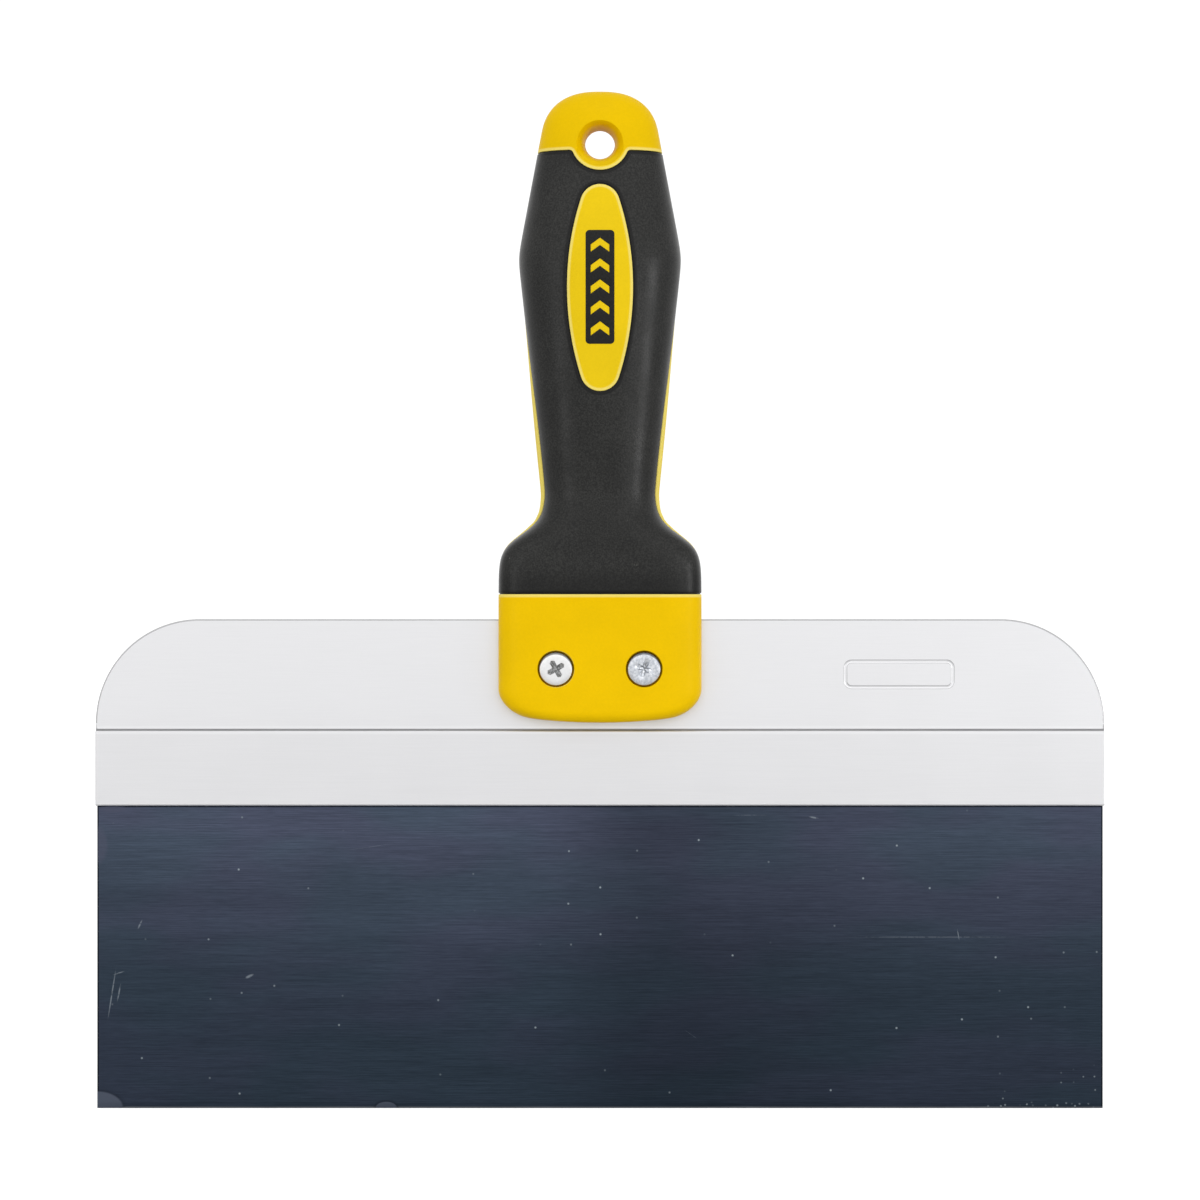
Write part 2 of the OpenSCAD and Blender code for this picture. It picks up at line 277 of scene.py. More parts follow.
def rib_lens(side):
    """The pointed window of a side rib: two arcs that meet at its ends."""
    r = (rib_half**2 + rib_t**2 / 4) / rib_t

    def curve(d):
        grown = r + gap + d
        tip = math.degrees(math.acos((r - rib_t / 2) / grown))
        rear = arc(rib_t / 2 - r, 0, grown, -tip, tip, 60)[:-1]
        y = np.concatenate([rear[:, 0], -rear[:, 0]])
        z = rib_mid + np.concatenate([rear[:, 1], -rear[:, 1]])
        return flank(y, z, side)
    return curve


def rib_raise(uv):
    """How far the side ribs stand above the skin."""
    z = np.clip(uv[:, 1], rib_low, rib_high)
    reach = np.where(z > rib_peak_z, rib_high - rib_peak_z, rib_peak_z - rib_low)
    height = rib_proud * np.maximum(0, np.cos(math.pi / 2 * (z - rib_peak_z) / reach)) ** 1.2
    r = (rib_half**2 + rib_t**2 / 4) / rib_t
    half = np.maximum(0.05, np.sqrt(np.maximum(0, r * r - (z - rib_mid) ** 2)) - (r - rib_t / 2))
    y = np.abs(on_skin(uv, 0)[:, 1])
    return height * np.clip(1 - (y / half) ** 4, 0, 1)


# ---- meshes ----

SHEET_R = 18.0                             # radius that turns the skin's angle into a length
FINE, COARSE = 1.0, 3.0                    # triangle sizes of the open and the hidden surfaces


def crossings(points, loops):
    """Whether each point lies inside an odd number of the closed loops."""
    inside = np.zeros(len(points), bool)
    for loop in loops:
        for (ax, az), (bx, bz) in zip(loop, np.roll(loop, -1, 0)):
            if az != bz:
                spans = (points[:, 1] < az) != (points[:, 1] < bz)
                inside ^= spans & (points[:, 0] < ax + (points[:, 1] - az) * (bx - ax) / (bz - az))
    return inside


def triangles_in(loops, spacing):
    """Points and triangles that fill the loops by the even-odd rule. The loops' own points come first."""
    rim = np.concatenate(loops)
    low, high = rim.min(0), rim.max(0)
    rows = np.arange(low[1] + spacing / 2, high[1], spacing * 0.87)
    columns = np.arange(low[0], high[0] + spacing, spacing)
    grid = np.array([(u + spacing / 2 * (k % 2), z) for k, z in enumerate(rows) for u in columns])
    grid = grid[crossings(grid, loops)]
    clear = np.ones(len(grid), bool)
    for part in np.array_split(rim, max(1, len(rim) // 100)):
        away = np.hypot(grid[:, None, 0] - part[None, :, 0], grid[:, None, 1] - part[None, :, 1]).min(1)
        clear &= away > 0.6 * spacing
    points = np.concatenate([rim, grid[clear]])
    edges, first = [], 0
    for loop in loops:
        n = len(loop)
        edges += [(first + i, first + (i + 1) % n) for i in range(n)]
        first += n
    made, _, faces, _, _, _ = delaunay_2d_cdt([Vector(p) for p in points], edges, [], 0, 1e-7)
    made = np.array(made)
    faces = np.array(faces)
    keep = crossings(made[faces].mean(1), loops)
    return made, faces[keep].tolist()


def quads(a, b, n, closed=True):
    """Faces between two rows of n points whose first points are a and b."""
    return [(a + i, a + (i + 1) % n, b + (i + 1) % n, b + i) for i in range(n if closed else n - 1)]


class Skin:
    """A closed surface on the handle, gathered from bands of rows and filled areas."""

    def __init__(self):
        self.points, self.lips, self.faces, self.count = [], [], [], 0

    def put(self, uv, inset, lip=0.0):
        first = self.count
        self.points.append(on_skin(uv, inset))
        self.lips.append(np.full(len(uv), lip))
        self.count += len(uv)
        return first

    def band(self, rows, closed):
        """Quads between rows of equally many points. A row is (points, inset, lip)."""
        firsts = [self.put(*row) for row in rows]
        n = len(rows[0][0])
        for a, b in zip(firsts, firsts[1:]):
            self.faces += quads(a, b, n, closed)

    def fill(self, loops, spacing, inset, lip=0.0):
        """Triangles inside the loops. inset is a number or a function of the points."""
        scale = np.array([SHEET_R, 1])
        points, faces = triangles_in([loop * scale for loop in loops], spacing)
        uv = points / scale
        first = self.put(uv, inset(uv) if callable(inset) else inset, lip)
        self.faces += [tuple(first + i for i in face) for face in faces]

    def lid(self, row):
        """One flat face over a closed row."""
        first = self.put(*row)
        self.faces.append(tuple(range(first, first + len(row[0]) - 1)))

    def build(self, name):
        return new_piece(name, np.concatenate(self.points), self.faces, {"lip": np.concatenate(self.lips)})


def between(low_row, high_row, spacing=FINE):
    """The loop round the sheet between two open rows, with matching points down both of its cut sides."""
    n = max(2, int((high_row[0, 1] - low_row[0, 1]) / spacing))
    heights = np.linspace(low_row[0, 1], high_row[0, 1], n + 1)[1:-1]
    right = np.stack([np.full(n - 1, SEAM + TURN), heights], 1)
    left = np.stack([np.full(n - 1, SEAM), heights[::-1]], 1)
    return np.concatenate([low_row, right, high_row[::-1], left])


def add_object(name, data):
    made = bpy.data.objects.new(name, data)
    bpy.context.scene.collection.objects.link(made)
    return made


def new_piece(name, points, faces, attributes=None, merge=1e-4, sharp=40):
    """A mesh object from points in millimetres, welded and with its faces turned outwards."""
    mesh = bpy.data.meshes.new(name)
    mesh.from_pydata((np.asarray(points) * MM).tolist(), [], faces)
    for key, values in (attributes or {}).items():
        mesh.attributes.new(key, "FLOAT", "POINT").data.foreach_set("value", np.asarray(values, np.float32))
    piece = add_object(name, mesh)
    tidy_mesh(mesh, merge, sharp)
    return piece


def tidy_mesh(mesh, merge, sharp):
    """Welds points closer than merge, in millimetres, and shades smooth below the sharp angle, in degrees."""
    bm = bmesh.new()
    bm.from_mesh(mesh)
    bmesh.ops.remove_doubles(bm, verts=bm.verts, dist=merge * MM)
    bmesh.ops.dissolve_degenerate(bm, edges=bm.edges, dist=merge * MM / 10)
    bmesh.ops.recalc_face_normals(bm, faces=bm.faces)
    bm.to_mesh(mesh)
    bm.free()
    mesh.shade_smooth()
    mesh.set_sharp_from_angle(angle=math.radians(sharp))


def apply_modifiers(piece):
    graph = bpy.context.evaluated_depsgraph_get()
    made = bpy.data.meshes.new_from_object(piece.evaluated_get(graph))
    piece.modifiers.clear()
    piece.data = made
    made.name = piece.name


def combine(piece, tools, operation, sharp=40):
    """Cuts the tools from the piece, or joins them to it."""
    for tool in tools:
        step = piece.modifiers.new("combine", "BOOLEAN")
        step.operation = operation
        step.solver = "EXACT"
        step.object = tool
        apply_modifiers(piece)
        bpy.data.objects.remove(tool)
    tidy_mesh(piece.data, 1e-4, sharp)


def bevel(piece, width, segments, angle=60):
    """Rounds the edges that turn by more than the angle, in degrees."""
    step = piece.modifiers.new("bevel", "BEVEL")
    step.width = width * MM
    step.segments = segments
    step.limit_method = "ANGLE"
    step.angle_limit = math.radians(angle)
    step.harden_normals = True
    apply_modifiers(piece)


def stacked(name, loops):
    """A solid through loops of equally many points, with a flat face over its first and last loop."""
    n = len(loops[0])
    starts = [k * n for k in range(len(loops))]
    faces = []
    for a, b in zip(starts, starts[1:]):
        faces += quads(a, b, n)
    faces += [tuple(range(start, start + n)) for start in (starts[0], starts[-1])]
    return new_piece(name, np.concatenate(loops), faces)


def lathe(name, profile, centre=(0, 0), steps=96):
    """A solid of revolution about an axis along Y through centre (x, z), from a profile of (y, radius)."""
    turns = np.linspace(0, TURN, steps, endpoint=False)
    return stacked(name, [
        [(centre[0] + r * math.cos(t), y, centre[1] + r * math.sin(t)) for t in turns] for y, r in profile])


def slab(name, outline, y0, y1):
    """A flat plate with an outline in X and Z."""
    return stacked(name, [[(x, y, z) for x, z in outline] for y in (y0, y1)])


def rectangle(x0, x1, z0, z1):
    return [(x0, z0), (x1, z0), (x1, z1), (x0, z1)]


def round_rectangle(cx, cz, w, h, r, n=8):
    corners = [(1, 1, 0), (-1, 1, 90), (-1, -1, 180), (1, -1, 270)]
    return np.concatenate([
        arc(cx + sx * (w / 2 - r), cz + sz * (h / 2 - r), r, a, a + 90, n) for sx, sz, a in corners])


def flatten_shading(piece):
    """Lets large flat faces keep their own normals beside small roundings."""
    step = piece.modifiers.new("flat", "WEIGHTED_NORMAL")
    step.keep_sharp = True
    step.weight = 90
    apply_modifiers(piece)


# ---- handle ----

LIP_W, LIP_FADE = 0.55, 0.35               # width of the lip along an edge, toned with painted highlight on the core and painted shade on the grip, and of its fading
EDGE_R = 0.2                               # rounding of the edges along a seam
GRIP_FLOOR = grip_t - 0.03                 # depth of the soft grip's hidden side
LEDGE_IN, LEDGE_OUT = 0.30, 0.34           # depths of the ledge that closes a seam's groove
LEDGE_GAP = 0.03                           # what the ledge leaves open at the core


def edge_rows(curve, out, bottom, inner):
    """Rows over a rounded edge and down its wall. out is -1 on the core's side of a seam and 1 on the grip's,
    where a ledge closes the floor of the seam's groove. inner is the tone where the open surface begins."""
    lip = 1.0
    start = 0 if out > 0 else -gap
    rows = [(curve(start + out * (LIP_W + LIP_FADE)), 0, inner), (curve(start + out * LIP_W), 0, lip)]
    for turn in np.radians(np.linspace(0, 90, 5)):
        rows.append((curve(start + out * EDGE_R * (1 - math.sin(turn))), EDGE_R * (1 - math.cos(turn)), lip))
    if out > 0:
        ledge = LEDGE_GAP - gap
        rows += [(curve(0), LEDGE_IN, lip), (curve(ledge), LEDGE_OUT, lip), (curve(ledge), bottom, lip)]
    else:
        rows.append((curve(start + 0.02), bottom, lip))
    return rows


def add_edge(skin, curve, closed, out, bottom, inner=0.0, raised=None):
    """Adds an edge to the skin and returns the rows where the open surface and the hidden one begin."""
    rows = edge_rows(curve, out, bottom, inner)
    if raised:
        rows = [(uv, inset - raised(uv) * (inset < bottom), lip) for uv, inset, lip in rows]
    skin.band(rows, closed)
    return rows[0][0], rows[-1][0]


def make_core():
    """Hard core of the handle: bolster, cap, oval windows, side ribs, and the surface below the grip."""
    skin = Skin()
    edge = dict(out=-1, bottom=grip_t)
    # painted highlight: the side ribs take part of the pale lip colour
    rib_painted_highlight = 0.6
    bolster_row, bolster_under = add_edge(skin, base_line, False, **edge)
    cap_row, cap_under = add_edge(skin, cap_line, False, **edge)
    hidden = []
    for side in (-1, 1):
        window, below = add_edge(skin, oval(side), True, **edge)
        skin.fill([window], FINE, 0)
        hidden.append(below)
        window, below = add_edge(skin, rib_lens(side), True, inner=rib_painted_highlight, raised=rib_raise, **edge)
        skin.fill([window], 0.8 * FINE, lambda uv: -rib_raise(uv), rib_painted_highlight)
        hidden.append(below)
    skin.fill([between(bolster_under, cap_under, COARSE)] + hidden, COARSE, grip_t)

    # Bolster, from its top row down round the foot
    levels = list(np.linspace(bolster_row[0, 1], foot_z + foot_corner_r, 24))
    levels += [foot_z + foot_corner_r * (1 - math.sin(math.radians(a))) for a in range(6, 91, 6)]
    skin.band([(level(z), 0, 0.0) for z in levels], False)
    floor_insets = [0, 1.5, 3, 4.5, 6, 7.2, 7.9]
    skin.band([(level(foot_z), inset, 0.0) for inset in floor_insets], False)
    skin.lid((level(foot_z), floor_insets[-1], 0.0))

    # Cap, from its seam up over the crown
    shoulder = cap_z + 3
    skin.fill([between(cap_row, level(shoulder))], FINE, 0)
    levels = list(np.linspace(shoulder, dome_z, 4))
    for a in np.radians(np.linspace(4, 88.5, 26)):
        levels.append(dome_z + (crown_z - dome_z) * math.sin(a) ** (2 / dome_power))
    skin.band([(level(z), 0, 0.0) for z in levels], False)
    skin.lid((level(levels[-1]), 0, 0.0))
    core = skin.build("core_shell")

    slot_y = plate_t / 2 + plate_fit
    slot = slab("slot", rectangle(-bolster_w, bolster_w, foot_z - 5, back_top + 0.2), -slot_y, slot_y)
    tools = [slot, hang_hole_tool()] + fastener_tools(-screw_x) + fastener_tools(screw_x)
    combine(core, tools, "DIFFERENCE")

    # The hang hole's wall takes no painted lip highlight from the tab round it
    for vertex, lip in zip(core.data.vertices, core.data.attributes["lip"].data):
        if math.hypot(vertex.co.x / MM, vertex.co.z / MM - hang_z) < tab_r - LIP_W - 0.1:
            lip.value = 0
    return core


def hang_hole_tool():
    """A straight throat that turns out smoothly into a flared mouth with a rounded lip on each face."""
    face = float(half_d(hang_z))
    half = []
    for t in np.linspace(0, 1, 14):
        opening = 0.35 * t + 0.65 * t**4
        half.append((throat_l / 2 + (face - throat_l / 2) * t, hang_r + (hang_mouth_r - hang_r) * opening))
    half.append((face + 3.0, hang_mouth_r + 0.4))
    profile = [(-y, r) for y, r in reversed(half)] + half
    return lathe("hang_hole_tool", profile, (0, hang_z))


def fastener_tools(x):
    """The two counterbores, with a fine chamfer at the mouth, and the hole between them."""
    r, chamfer, hole_r = counterbore_r, 0.15, 2.2
    face = bolster_d / 2
    tools = []
    for side, floor in ((-1, -screw_low[1] - screw_head_h), (1, nut_high[1] - nut_head_h)):
        profile = [(side * floor, r), (side * (face - chamfer), r), (side * (face + 1), r + 1 + chamfer)]
        tools.append(lathe("counterbore_tool", profile, (x, screw_z), 72))
    tools.append(lathe("hole_tool", [(-face, hole_r), (face, hole_r)], (x, screw_z), 48))
    return tools


def make_grip():
    """Soft grip: a shell round the core, open at the oval windows and the side ribs."""
    skin = Skin()
    edge = dict(out=1, bottom=GRIP_FLOOR)
    base_row, base_under = add_edge(skin, base_line, False, **edge)
    cap_row, cap_under = add_edge(skin, cap_line, False, **edge)
    windows, hidden = [], []
    for side in (-1, 1):
        for curve in (oval(side), rib_lens(side)):
            window, below = add_edge(skin, curve, True, **edge)
            windows.append(window)
            hidden.append(below)
    skin.fill([between(base_row, cap_row)] + windows, FINE, 0)
    skin.fill([between(base_under, cap_under, COARSE)] + hidden, COARSE, GRIP_FLOOR)
    return skin.build("grip_shell")


# ---- the other pieces ----

def make_blade():
    """Spring-steel sheet with a ground working edge, in narrow rows."""
    w, t, top = blade_high
    ground_t, ground_h, side, side_inset = 0.15, 0.5, 0.12, 0.08
    heights = [0, 0.06, ground_h] + list(np.linspace(2, top - 0.2, 58)) + [top]
    columns = [-w, -w + side] + list(np.linspace(-w + 4, w - 4, 63)) + [w - side, w]
    points, faces = [], []
    for front in (-1, 1):
        for z in heights:
            deep = t if z >= ground_h else ground_t + (t - ground_t) * z / ground_h
            points += [(x, front * (deep - (side_inset if abs(x) == w else 0)), z) for x in columns]
    n, m = len(columns), len(heights)
    for first in (0, n * m):
        for k in range(m - 1):
            faces += quads(first + k * n, first + (k + 1) * n, n, False)
    rim = list(range(n)) + [k * n + n - 1 for k in range(1, m)]
    rim += [(m - 1) * n + i for i in range(n - 2, -1, -1)] + [k * n for k in range(m - 2, 0, -1)]
    faces += [(a, b, b + n * m, a + n * m) for a, b in zip(rim, rim[1:] + rim[:1])]
    blade = new_piece("blade_sheet", points, faces, sharp=20)
    rest = blade.data.attributes.new("rest", "FLOAT_VECTOR", "POINT")
    rest.data.foreach_set("vector", np.array([v.co for v in blade.data.vertices], np.float32).ravel())
    return blade


STEP_LINE, STEP_DEPTH = 0.4, 0.12          # the fine line along the top of the backing's band


def make_backing():
    """Extruded aluminium: a thick band that grips the blade, and a thin plate with two large corners."""
    half, band_y = back_high[0], back_high[1]
    foot_r, step_r, end_r, plate_edge_r = 0.6, 0.3, 0.2, 0.4
    slot_y, slot_top = blade_high[1] + blade_slot_fit, blade_show + blade_slot_d

    def band_corner(sy, cz, r, start):
        return arc(sy * (band_y - r), cz, r, start, start + 90, 6)

    section = np.concatenate([
        band_corner(1, blade_show + foot_r, foot_r, 270),
        band_corner(1, band_top - step_r, step_r, 0),
        band_corner(-1, band_top - step_r, step_r, 90),
        band_corner(-1, blade_show + foot_r, foot_r, 180),
        [(-slot_y, blade_show), (-slot_y, slot_top), (slot_y, slot_top), (slot_y, blade_show)]])
    band = stacked("backing_plate", [[(x, y, z) for y, z in section] for x in (-half, half)])
    bevel(band, end_r, 2)

    r = backing_corner_r
    outline = np.concatenate([
        [(-half, band_top - 3), (half, band_top - 3)],
        arc(half - r, back_top - r, r, 0, 90, 48),
        arc(r - half, back_top - r, r, 90, 180, 48)])
    plate = slab("plate", outline, -plate_t / 2, plate_t / 2)
    bevel(plate, plate_edge_r, 3)
    combine(band, [plate], "UNION", sharp=30)

    hole = [(-plate_t, plate_hole_r), (plate_t, plate_hole_r)]
    tools = [lathe("hole_tool", hole, (x, screw_z), 48) for x in (-screw_x, screw_x)]
    tools.append(press_frame_tool())
    line = rectangle(-half - 1, half + 1, band_top - 0.1, band_top + STEP_LINE)
    for face in (-plate_t / 2, plate_t / 2):
        tools.append(slab("groove_tool", line, face - STEP_DEPTH, face + STEP_DEPTH))
    combine(band, tools, "DIFFERENCE", sharp=30)
    flatten_shading(band)
    # faces of the cut rim, which the aluminium darkens with painted shade
    rim = [abs(face.normal.y) < 0.97 and face.center.z / MM > band_top + 2 for face in band.data.polygons]
    band.data.attributes.new("rim", "FLOAT", "FACE").data.foreach_set("value", np.array(rim, np.float32))
    return band


def press_frame_tool():
    """The pressed line of a plain rounded frame, as a ring."""
    cx, cz, w, h, r = 75.5, band_top + 14.2, 28, 7.4, 2
    line, deep = 0.9, 0.16
    face = -plate_t / 2
    loops = []
    for y, slope in ((face - 0.1, -0.1), (face + deep, deep * 0.7)):
        for inwards in (slope, line - slope):
            loop = round_rectangle(cx, cz, w - 2 * inwards, h - 2 * inwards, r - inwards)
            loops.append([(x, y, z) for x, z in loop])
    n = len(loops[0])
    faces = []
    for a, b in ((0, 2), (2, 3), (3, 1), (1, 0)):
        faces += quads(a * n, b * n, n)
    return new_piece("press_tool", np.concatenate(loops), faces)


def cross_tool(x, y, turn, fill):
    """A Phillips recess that narrows towards its floor. fill is the share of its depth that is left open."""
    layers = [(-0.6, 2.5, 0.74), (0, 2.4, 0.66), (0.7, 1.9, 0.5), (1.5, 0.9, 0.36), (2.1, 0.12, 0.08)]
    loops = []
    for deep, reach, half in layers:
        loop = []
        shoulder = reach - half * 0.6
        for quarter in range(4):
            a = math.radians(90 * quarter + turn)
            for u, v in ((half, -half), (shoulder, -half), (reach, 0), (shoulder, half)):
                across, up = u * math.cos(a) - v * math.sin(a), u * math.sin(a) + v * math.cos(a)
                loop.append((x + across, y + deep * fill, screw_z + up))
        loops.append(loop)
    return stacked("cross_tool", loops)


def make_screws():
    """The two screws, one with a clean recess and one whose recess is clogged."""
    face, under, r = screw_low[1], screw_low[1] + screw_head_h, head_d / 2
    profile = [
        (face, 0.4), (face, r - 1.2), (face + 0.03, r - 0.45), (face + 0.12, r - 0.1), (face + 0.35, r),
        (under, r), (under, shank_r), (screw_high[1], shank_r)]
    screws = []
    for x, turn, fill in ((-screw_x, 30, 1.0), (screw_x, -22, 0.35)):
        screw = lathe("screw", profile, (x, screw_z))
        combine(screw, [cross_tool(x, face, turn, fill)], "DIFFERENCE", sharp=30)
        flatten_shading(screw)
        screws.append(screw)
    return joined("screw_pair", screws)


def make_nuts():
    """The two slotted sleeve nuts."""
    face, under, r = nut_high[1], nut_high[1] - nut_head_h, head_d / 2
    slot_half, slot_deep = 0.6, 0.8
    profile = [
        (nut_low[1], sleeve_r), (under, sleeve_r), (under, r), (face - 0.35, r), (face - 0.12, r - 0.1),
        (face - 0.03, r - 0.45), (face, r - 1.2)]
    bore_profile = [(nut_low[1] - 1, sleeve_bore_r), (sleeve_bore_end, sleeve_bore_r)]
    nuts = []
    for x in (-screw_x, screw_x):
        nut = lathe("nut", profile, (x, screw_z))
        cut = rectangle(x - head_d, x + head_d, screw_z - slot_half, screw_z + slot_half)
        slot = slab("slot", cut, face - slot_deep, face + 1)
        bore = lathe("bore", bore_profile, (x, screw_z), 48)
        combine(nut, [slot, bore], "DIFFERENCE", sharp=30)
        flatten_shading(nut)
        nuts.append(nut)
    return joined("nut_pair", nuts)


def joined(name, pieces):
    """One object made of the pieces' meshes."""
    bm = bmesh.new()
    for piece in pieces:
        bm.from_mesh(piece.data)
        bpy.data.objects.remove(piece)
    mesh = bpy.data.meshes.new(name)
    bm.to_mesh(mesh)
    bm.free()
    return add_object(name, mesh)


def finer(loops, step):
    """The same closed outline at several offsets, with extra points along its long sides."""
    sides = np.roll(loops[0], -1, 0) - loops[0]
    counts = np.maximum(1, np.ceil(np.hypot(sides[:, 0], sides[:, 1]) / step)).astype(int)
    return [np.concatenate([
        start + (end - start) * np.arange(n)[:, None] / n
        for start, end, n in zip(loop, np.roll(loop, -1, 0), counts)]) for loop in loops]


def make_badge():
    """A plain black plaque let into the front oval, a hair proud of it, with a column of chevron openings."""
    w, h, corner_r, proud, deep, edge = 7.2, 28.4, 1.0, 0.12, 0.4, 0.14
    n, chevron_w, rise, band, pitch = 5, 4.6, 1.7, 1.8, 5.2
    spread = 1.1                           # how much a chevron's sloping edge moves for each step outwards

    def plaque(inwards):
        return round_rectangle(0, oval_z, w - 2 * inwards, h - 2 * inwards, corner_r - inwards)

    def chevron(middle):
        def outline(outwards):
            x = np.array([-1, 0, 1]) * (chevron_w / 2 + outwards)
            low = middle - rise * np.array([1, 0, 1]) - spread * outwards
            high = low + band + 2 * spread * outwards
            return np.concatenate([np.stack([x, low], 1), np.stack([x, high], 1)[::-1]])
        return outline

    skin = Skin()
    tops, floors = [], []
    for outline in [plaque] + [chevron(oval_z + (k - (n - 1) / 2) * pitch) for k in range(n)]:
        loops = finer([outline(0), outline(0), outline(0.3 * edge), outline(edge)], 0.8)
        insets = (deep, edge - proud, 0.3 * edge - proud, -proud)
        rows = [(facing(loop[:, 0], loop[:, 1], -1), inset, 0.0) for loop, inset in zip(loops, insets)]
        skin.band(rows, True)
        tops.append(rows[-1][0])
        floors.append(rows[0][0])
    skin.fill(tops, 0.7, -proud)
    skin.fill(floors, 0.7, deep)
    return skin.build("badge_mark")


# ---- materials ----

class Nodes:
    """A node tree. The nodes' inputs are numbers, tuples or other nodes' outputs."""

    def __init__(self, tree):
        self.tree = tree

    def set(self, node, key, value):
        socket = node.inputs[key]
        if isinstance(value, bpy.types.NodeSocket):
            self.tree.links.new(value, socket)
        else:
            socket.default_value = value

    def add(self, kind, inputs=None, **options):
        node = self.tree.nodes.new(kind)
        for key, value in options.items():
            setattr(node, key, value)
        for key, value in (inputs or {}).items():
            self.set(node, key, value)
        return node

    def maths(self, operation, a, b=0.0):
        return self.add("ShaderNodeMath", {0: a, 1: b}, operation=operation).outputs[0]

    def ramp(self, value, low, high, to_low=0.0, to_high=1.0, smooth=True):
        inputs = {"Value": value, "From Min": low, "From Max": high, "To Min": to_low, "To Max": to_high}
        kind = "SMOOTHSTEP" if smooth else "LINEAR"
        return self.add("ShaderNodeMapRange", inputs, interpolation_type=kind).outputs[0]


class Look(Nodes):
    """A material round one Principled shader."""

    def __init__(self, name, **settings):
        self.material = bpy.data.materials.new(name)
        self.material.use_nodes = True
        super().__init__(self.material.node_tree)
        self.shader = self.tree.nodes["Principled BSDF"]
        self.place = self.add("ShaderNodeTexCoord").outputs["Object"]
        for key, value in settings.items():
            self.set(self.shader, key.replace("_", " "), value)

    def paint(self, colour, roughness):
        self.set(self.shader, "Base Color", colour)
        self.set(self.shader, "Roughness", roughness)

    def axes(self, where=None):
        """X, Y and Z in millimetres."""
        inputs = {0: where or self.place, "Scale": 1 / MM}
        scaled = self.add("ShaderNodeVectorMath", inputs, operation="SCALE").outputs[0]
        split = self.add("ShaderNodeSeparateXYZ", {0: scaled}).outputs
        return split["X"], split["Y"], split["Z"]

    def spot(self, where, centre, radii, turn=0.0, soft=0.15):
        """1 inside an ellipsoid in millimetres, turned by some degrees about Y, and 0 outside."""
        local = self.add("ShaderNodeMapping", {
            "Vector": where, "Location": [v * MM for v in centre], "Rotation": (0, math.radians(turn), 0),
            "Scale": [r * MM for r in radii]}, vector_type="TEXTURE").outputs[0]
        away = self.add("ShaderNodeVectorMath", {0: local}, operation="LENGTH").outputs["Value"]
        return self.ramp(away, 1 + soft, 1 - soft)

    def times(self, *values):
        product = values[0]
        for value in values[1:]:
            product = self.maths("MULTIPLY", product, value)
        return product

    def shade(self, colour, value):
        """The colour times a number."""
        return self.mix(1.0, colour, value, "MULTIPLY")

    def noise(self, scale, detail=2.0, roughness=0.5, stretch=None, where=None):
        """Noise with scale features a millimetre, stretched along the axes."""
        where = where or self.place
        if stretch:
            where = self.add("ShaderNodeVectorMath", {0: where, 1: stretch}, operation="MULTIPLY").outputs[0]
        inputs = {"Vector": where, "Scale": scale / MM, "Detail": detail, "Roughness": roughness}
        return self.add("ShaderNodeTexNoise", inputs).outputs["Fac"]

    def vary(self, noise, low, high):
        """Noise, spread over the levels from low to high."""
        return self.ramp(noise, 0.3, 0.7, low, high)

    def stripe(self, value, low, full, full_end, end):
        """1 between full and full_end, and 0 below low and above end."""
        return self.times(self.ramp(value, low, full), self.ramp(value, end, full_end))

    def curve(self, value, stops):
        """A smooth curve through (value, level) stops; levels lie between 0 and 1."""
        low, high = stops[0][0], stops[-1][0]
        node = self.add("ShaderNodeValToRGB", {"Fac": self.ramp(value, low, high, smooth=False)})
        node.color_ramp.interpolation = "CARDINAL"
        elements = node.color_ramp.elements
        for at, level in stops[1:-1]:
            elements.new((at - low) / (high - low))
        for element, (at, level) in zip(elements, stops):
            element.color = (level, level, level, 1)
        return node.outputs["Color"]

    def mix(self, share, a, b, blend="MIX"):
        node = self.add("ShaderNodeMix", data_type="RGBA", blend_type=blend)
        self.set(node, "Factor", share)
        for key, value in ((6, a), (7, b)):
            self.set(node, key, value if isinstance(value, bpy.types.NodeSocket) else (*value, 1.0))
        return node.outputs[2]

    def attribute(self, name, output="Fac"):
        return self.add("ShaderNodeAttribute", attribute_name=name).outputs[output]

    def bump(self, height, strength, distance):
        """Bump from a height; distance in millimetres. Bumps stack."""
        inputs = {"Height": height, "Strength": strength, "Distance": distance * MM}
        node = self.add("ShaderNodeBump", inputs)
        normal = self.shader.inputs["Normal"]
        if normal.is_linked:
            self.tree.links.new(normal.links[0].from_socket, node.inputs["Normal"])
        self.tree.links.new(node.outputs["Normal"], normal)

    def wear(self, piece):
        piece.data.materials.clear()
        piece.data.materials.append(self.material)


def yellow_plastic():
    """Nearly matt moulded yellow, a shade greener between the seams, with a painted highlight along the seam
    lips and on the side ribs.
    """
    look = Look("yellow_plastic", Specular_IOR_Level=0.04)
    z = look.axes()[2]
    bolster, between_seams = (0.84, 0.529, 0.0), (0.80, 0.556, 0.008)
    cap, painted_lip_highlight = (0.78, 0.50, 0.0), (0.86, 0.73, 0.20)
    colour = look.mix(look.ramp(z, bolster_top + 2, bolster_top + 4), bolster, between_seams)
    colour = look.mix(look.ramp(z, cap_z - 2, cap_z), colour, cap)
    # painted highlight: the lips along the seams, and the side ribs, are made paler as if catching the light
    colour = look.mix(look.times(look.attribute("lip"), 0.75), colour, painted_lip_highlight)
    cloud = look.vary(look.noise(0.06, 4, 0.6), 0.97, 1.03)
    fine = look.vary(look.noise(1.6, 3), 0.985, 1.015)
    look.paint(look.shade(colour, look.times(cloud, fine)), look.vary(look.noise(0.8, 4), 0.34, 0.44))
    look.bump(look.noise(3.0, 3), 0.12, 0.02)
    return look


